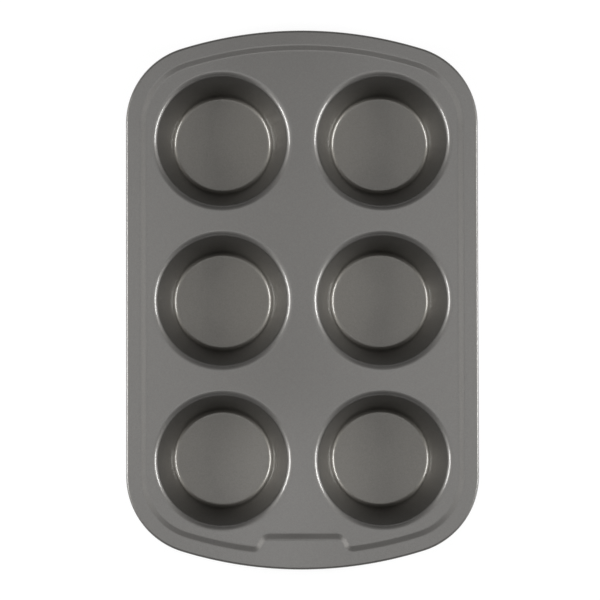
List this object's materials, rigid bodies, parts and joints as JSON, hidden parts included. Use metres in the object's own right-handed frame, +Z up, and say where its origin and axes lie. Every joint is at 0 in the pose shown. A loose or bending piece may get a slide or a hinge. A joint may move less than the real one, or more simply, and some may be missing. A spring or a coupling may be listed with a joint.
{
  "type": "muffin pan",
  "caption": "Dark grey non-stick muffin pan: pressed steel tray of tapered round cups in a recessed deck, with a raised flange, a front grip tab and a rolled wire rim.",
  "frame": {"origin": "middle of the pan, on the plane of the cup undersides that it stands on", "axes": "+X to the right as the picture shows it, +Y along the length to the end without a tab, +Z up out of the cups"},
  "size_m": [0.1852, 0.2834, 0.032],
  "materials": {
    "coated_steel": "satin dark grey non-stick coating with a fine metallic flake",
    "wire_steel": "plain drawn steel wire"
  },
  "bodies": {
    "root": {"deck": "coated_steel", "cup_front_left": "coated_steel", "cup_front_right": "coated_steel", "cup_middle_left": "coated_steel", "cup_middle_right": "coated_steel", "cup_back_left": "coated_steel", "cup_back_right": "coated_steel", "flange": "coated_steel", "rolled_rim": "coated_steel", "rim_wire": "wire_steel"}
  },
  "joints": []
}
